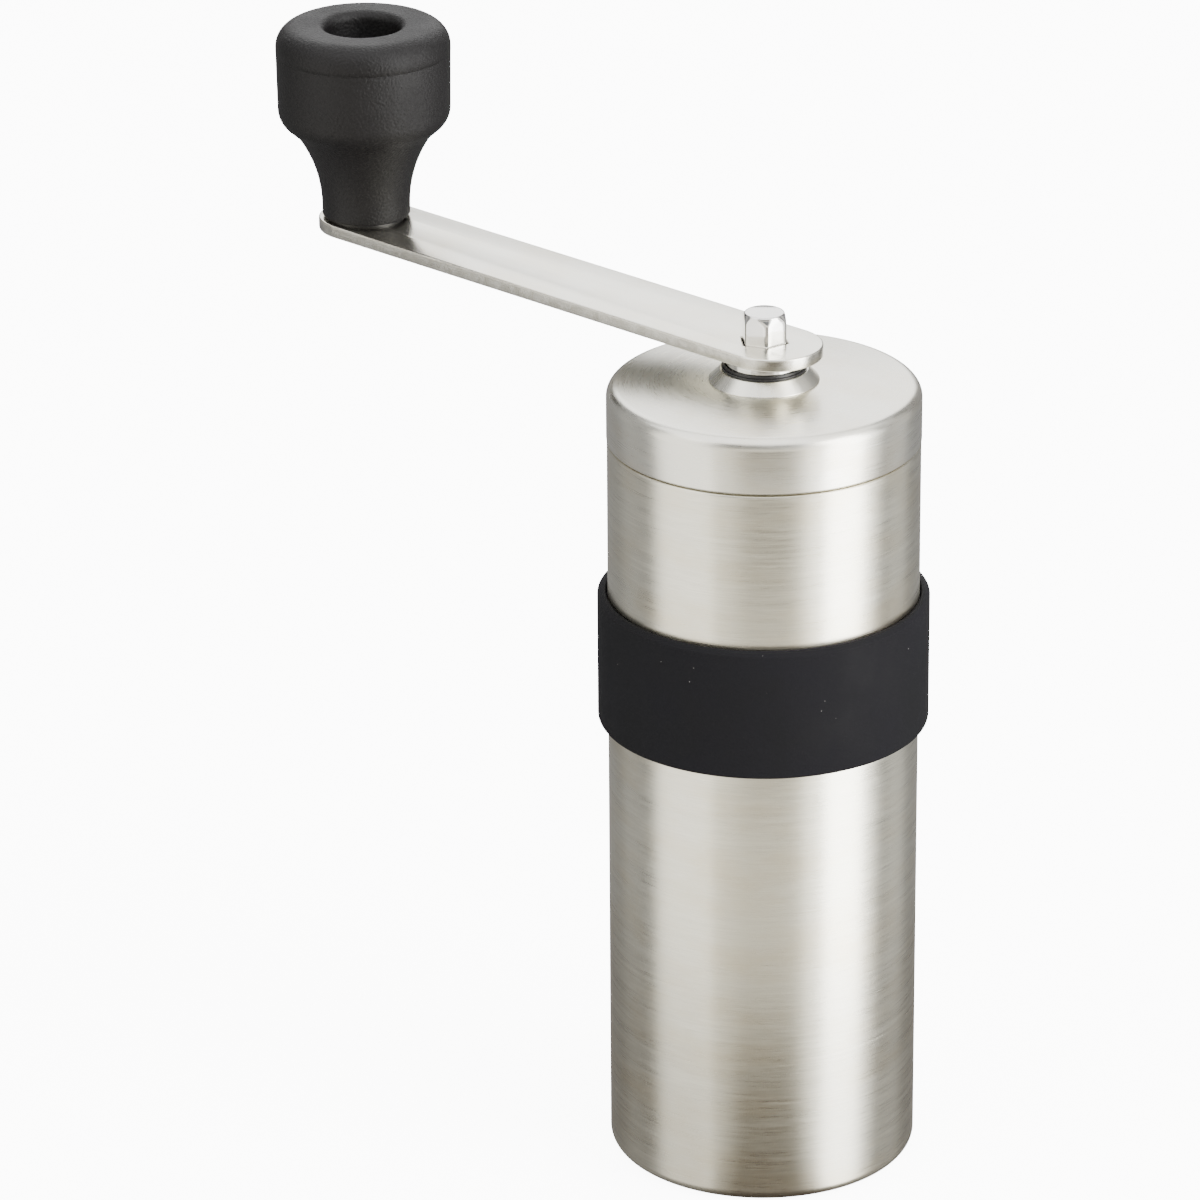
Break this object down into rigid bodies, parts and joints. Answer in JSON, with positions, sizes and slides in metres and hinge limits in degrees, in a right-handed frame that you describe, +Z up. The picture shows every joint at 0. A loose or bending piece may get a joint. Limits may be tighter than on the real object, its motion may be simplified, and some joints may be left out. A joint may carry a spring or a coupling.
{
  "type": "hand crank coffee grinder",
  "caption": "Slim cylindrical steel coffee mill with a grounds cup, grip band, conical burrs, lift-off lid and a flat crank arm with a turning knob.",
  "frame": {"origin": "centre of the flat bottom of the grounds cup, on the drive shaft's axis", "axes": "+Z up along the drive shaft; the crank arm points along -X at rest"},
  "size_m": [0.124, 0.0512, 0.1664],
  "materials": {
    "steel_body": "fine circumferential brushing",
    "steel_lid": "fine circumferential brushing",
    "steel_inner": "satin",
    "steel_arm": "satin, bevelled bright edges",
    "steel_polished": "polished",
    "steel_burr": "machined, unpolished",
    "steel_dial": "turned",
    "band_silicone": "matt",
    "gasket_silicone": "matt",
    "knob_plastic": "satin, fine grain",
    "bush_black": "satin",
    "bush_bronze": "machined",
    "carrier_alu": "satin cast"
  },
  "bodies": {
    "cup": {"cup_shell": "steel_body", "cup_neck": "steel_inner"},
    "upper": {"upper_tube": "steel_body", "inner_liner": "steel_inner", "grip_band": "band_silicone", "burr_carrier": "carrier_alu", "ring_burr": "steel_burr", "burr_grub_screws": "steel_burr", "bush_lower": "bush_bronze", "bearing_bracket": "carrier_alu", "bush_upper": "bush_bronze"},
    "lid": {"lid_shell": "steel_lid", "lid_collar": "steel_lid", "lid_bush": "bush_black", "lid_gasket": "gasket_silicone"},
    "shaft": {"drive_shaft": "steel_polished", "shaft_sleeve": "steel_polished", "thrust_washer": "steel_dial", "retaining_clip": "steel_burr", "spring_washer": "steel_dial"},
    "burr": {"cone_burr": "steel_burr", "click_plate": "steel_dial", "burr_spring": "steel_polished"},
    "dial": {"adjuster_dial": "steel_dial"},
    "handle": {"crank_arm": "steel_arm", "knob_pin": "steel_polished", "knob_washer": "bush_black", "pin_washer": "steel_dial"},
    "knob": {"knob": "knob_plastic", "knob_bush": "bush_bronze"}
  },
  "joints": [
    {"name": "body_lift", "type": "slide", "parent": "cup", "child": "upper", "axis": [0, 0, 1], "range_m": [0, 0.08]},
    {"name": "crank_spin", "type": "hinge", "parent": "upper", "child": "shaft", "pos_m": [0, 0, 0.1], "axis": [0, 0, 1], "continuous": true},
    {"name": "handle_lift", "type": "slide", "parent": "shaft", "child": "handle", "axis": [0, 0, 1], "range_m": [0, 0.08]},
    {"name": "lid_lift", "type": "slide", "parent": "upper", "child": "lid", "axis": [0, 0, 1], "range_m": [0, 0.04]},
    {"name": "knob_spin", "type": "hinge", "parent": "handle", "child": "knob", "pos_m": [-0.0846, 0, 0.14], "axis": [0, 0, 1], "continuous": true},
    {"name": "burr_slide", "type": "slide", "parent": "shaft", "child": "burr", "axis": [0, 0, 1], "range_m": [0, 0.001], "deforming": ["burr_spring"]},
    {"name": "adjuster_turn", "type": "hinge", "parent": "burr", "child": "dial", "pos_m": [0, 0, 0.067], "axis": [0, 0, 1], "range_deg": [0, 720]}
  ],
  "couplings": [
    {"joint": "lid_lift", "follows": "handle_lift", "ratio": 0.5},
    {"joint": "adjuster_turn", "follows": "burr_slide", "rad_per_m": 12566}
  ]
}
